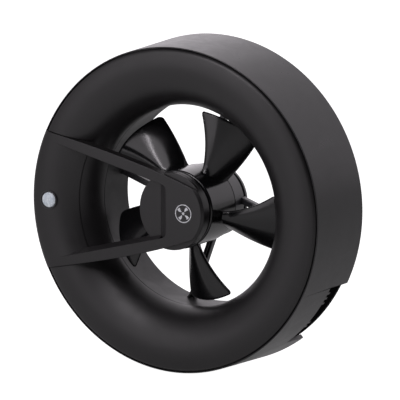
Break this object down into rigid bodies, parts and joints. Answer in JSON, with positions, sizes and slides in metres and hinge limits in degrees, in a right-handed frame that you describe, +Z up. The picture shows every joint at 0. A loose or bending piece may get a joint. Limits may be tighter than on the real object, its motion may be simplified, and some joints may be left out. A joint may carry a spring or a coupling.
{
  "type": "wall extract fan",
  "caption": "Round wall extract fan over a 125 mm duct: bellmouth front, arm with a presence sensor, five-bladed impeller on a motor held by swept struts.",
  "frame": {"origin": "on the duct axis in the plane of the wall that the back plate lies on", "axes": "+Y along the duct axis into the wall, so the front faces -Y; +Z up; +X to the right seen from the front"},
  "size_m": [0.1908, 0.056, 0.1908],
  "materials": {
    "front": "satin moulded plastic",
    "shell": "satin moulded plastic",
    "inner": "matt moulded plastic",
    "tube": "satin moulded plastic",
    "motor": "satin moulded plastic",
    "blade": "semi-gloss moulded plastic",
    "lens": "translucent milky lens",
    "board": "coated circuit board",
    "component": "matt",
    "terminal": "matt",
    "lead": "matt cable jacket",
    "rubber": "matt",
    "steel": "machined",
    "laminate": "stacked sheet steel",
    "copper": "enamelled wire",
    "brass": "turned",
    "magnet": "sintered"
  },
  "bodies": {
    "housing": {"outer_shell": "shell", "back_plate": "inner", "duct_tube": "tube", "motor_carrier": "motor", "motor_rear_cap": "motor", "bearing_tube": "brass", "front_bearing": "steel", "rear_bearing": "steel", "stator_core": "laminate", "stator_coil_1": "copper", "stator_coil_2": "copper", "stator_coil_3": "copper", "stator_coil_4": "copper", "motor_board": "board", "motor_lead": "lead", "shell_screw_1": "steel", "shell_screw_2": "steel", "shell_screw_3": "steel", "shell_screw_4": "steel", "tube_screw_1": "steel", "tube_screw_2": "steel", "tube_screw_3": "steel", "main_board": "board", "board_screw_1": "steel", "board_screw_2": "steel", "terminal_block": "terminal", "terminal_screw_1": "brass", "terminal_screw_2": "brass", "terminal_screw_3": "brass", "power_module": "component", "smoothing_capacitor": "component", "motor_plug": "component", "sensor_socket": "component", "cable_clamp": "inner", "clamp_screw_1": "steel", "clamp_screw_2": "steel", "cable_grommet": "rubber"},
    "rotor": {"impeller": "blade", "rotor_cup": "steel", "rotor_magnet": "magnet", "motor_shaft": "steel", "shaft_clip": "steel"},
    "front_panel": {"front_ring": "front", "arm_frame": "front", "hub_cover": "front", "arm_screw_1": "steel", "arm_screw_2": "steel", "hub_cover_screw_1": "steel", "hub_cover_screw_2": "steel", "sensor_lens": "lens", "sensor_bezel": "component", "sensor_element": "steel", "sensor_board": "board", "sensor_plug": "component"}
  },
  "joints": [
    {"name": "impeller_spin", "type": "hinge", "parent": "housing", "child": "rotor", "pos_m": [0, -0.0275, 0], "axis": [0, -1, 0], "continuous": true},
    {"name": "front_panel_pull", "type": "slide", "parent": "housing", "child": "front_panel", "axis": [0, -1, 0], "range_m": [0, 0.08]}
  ]
}
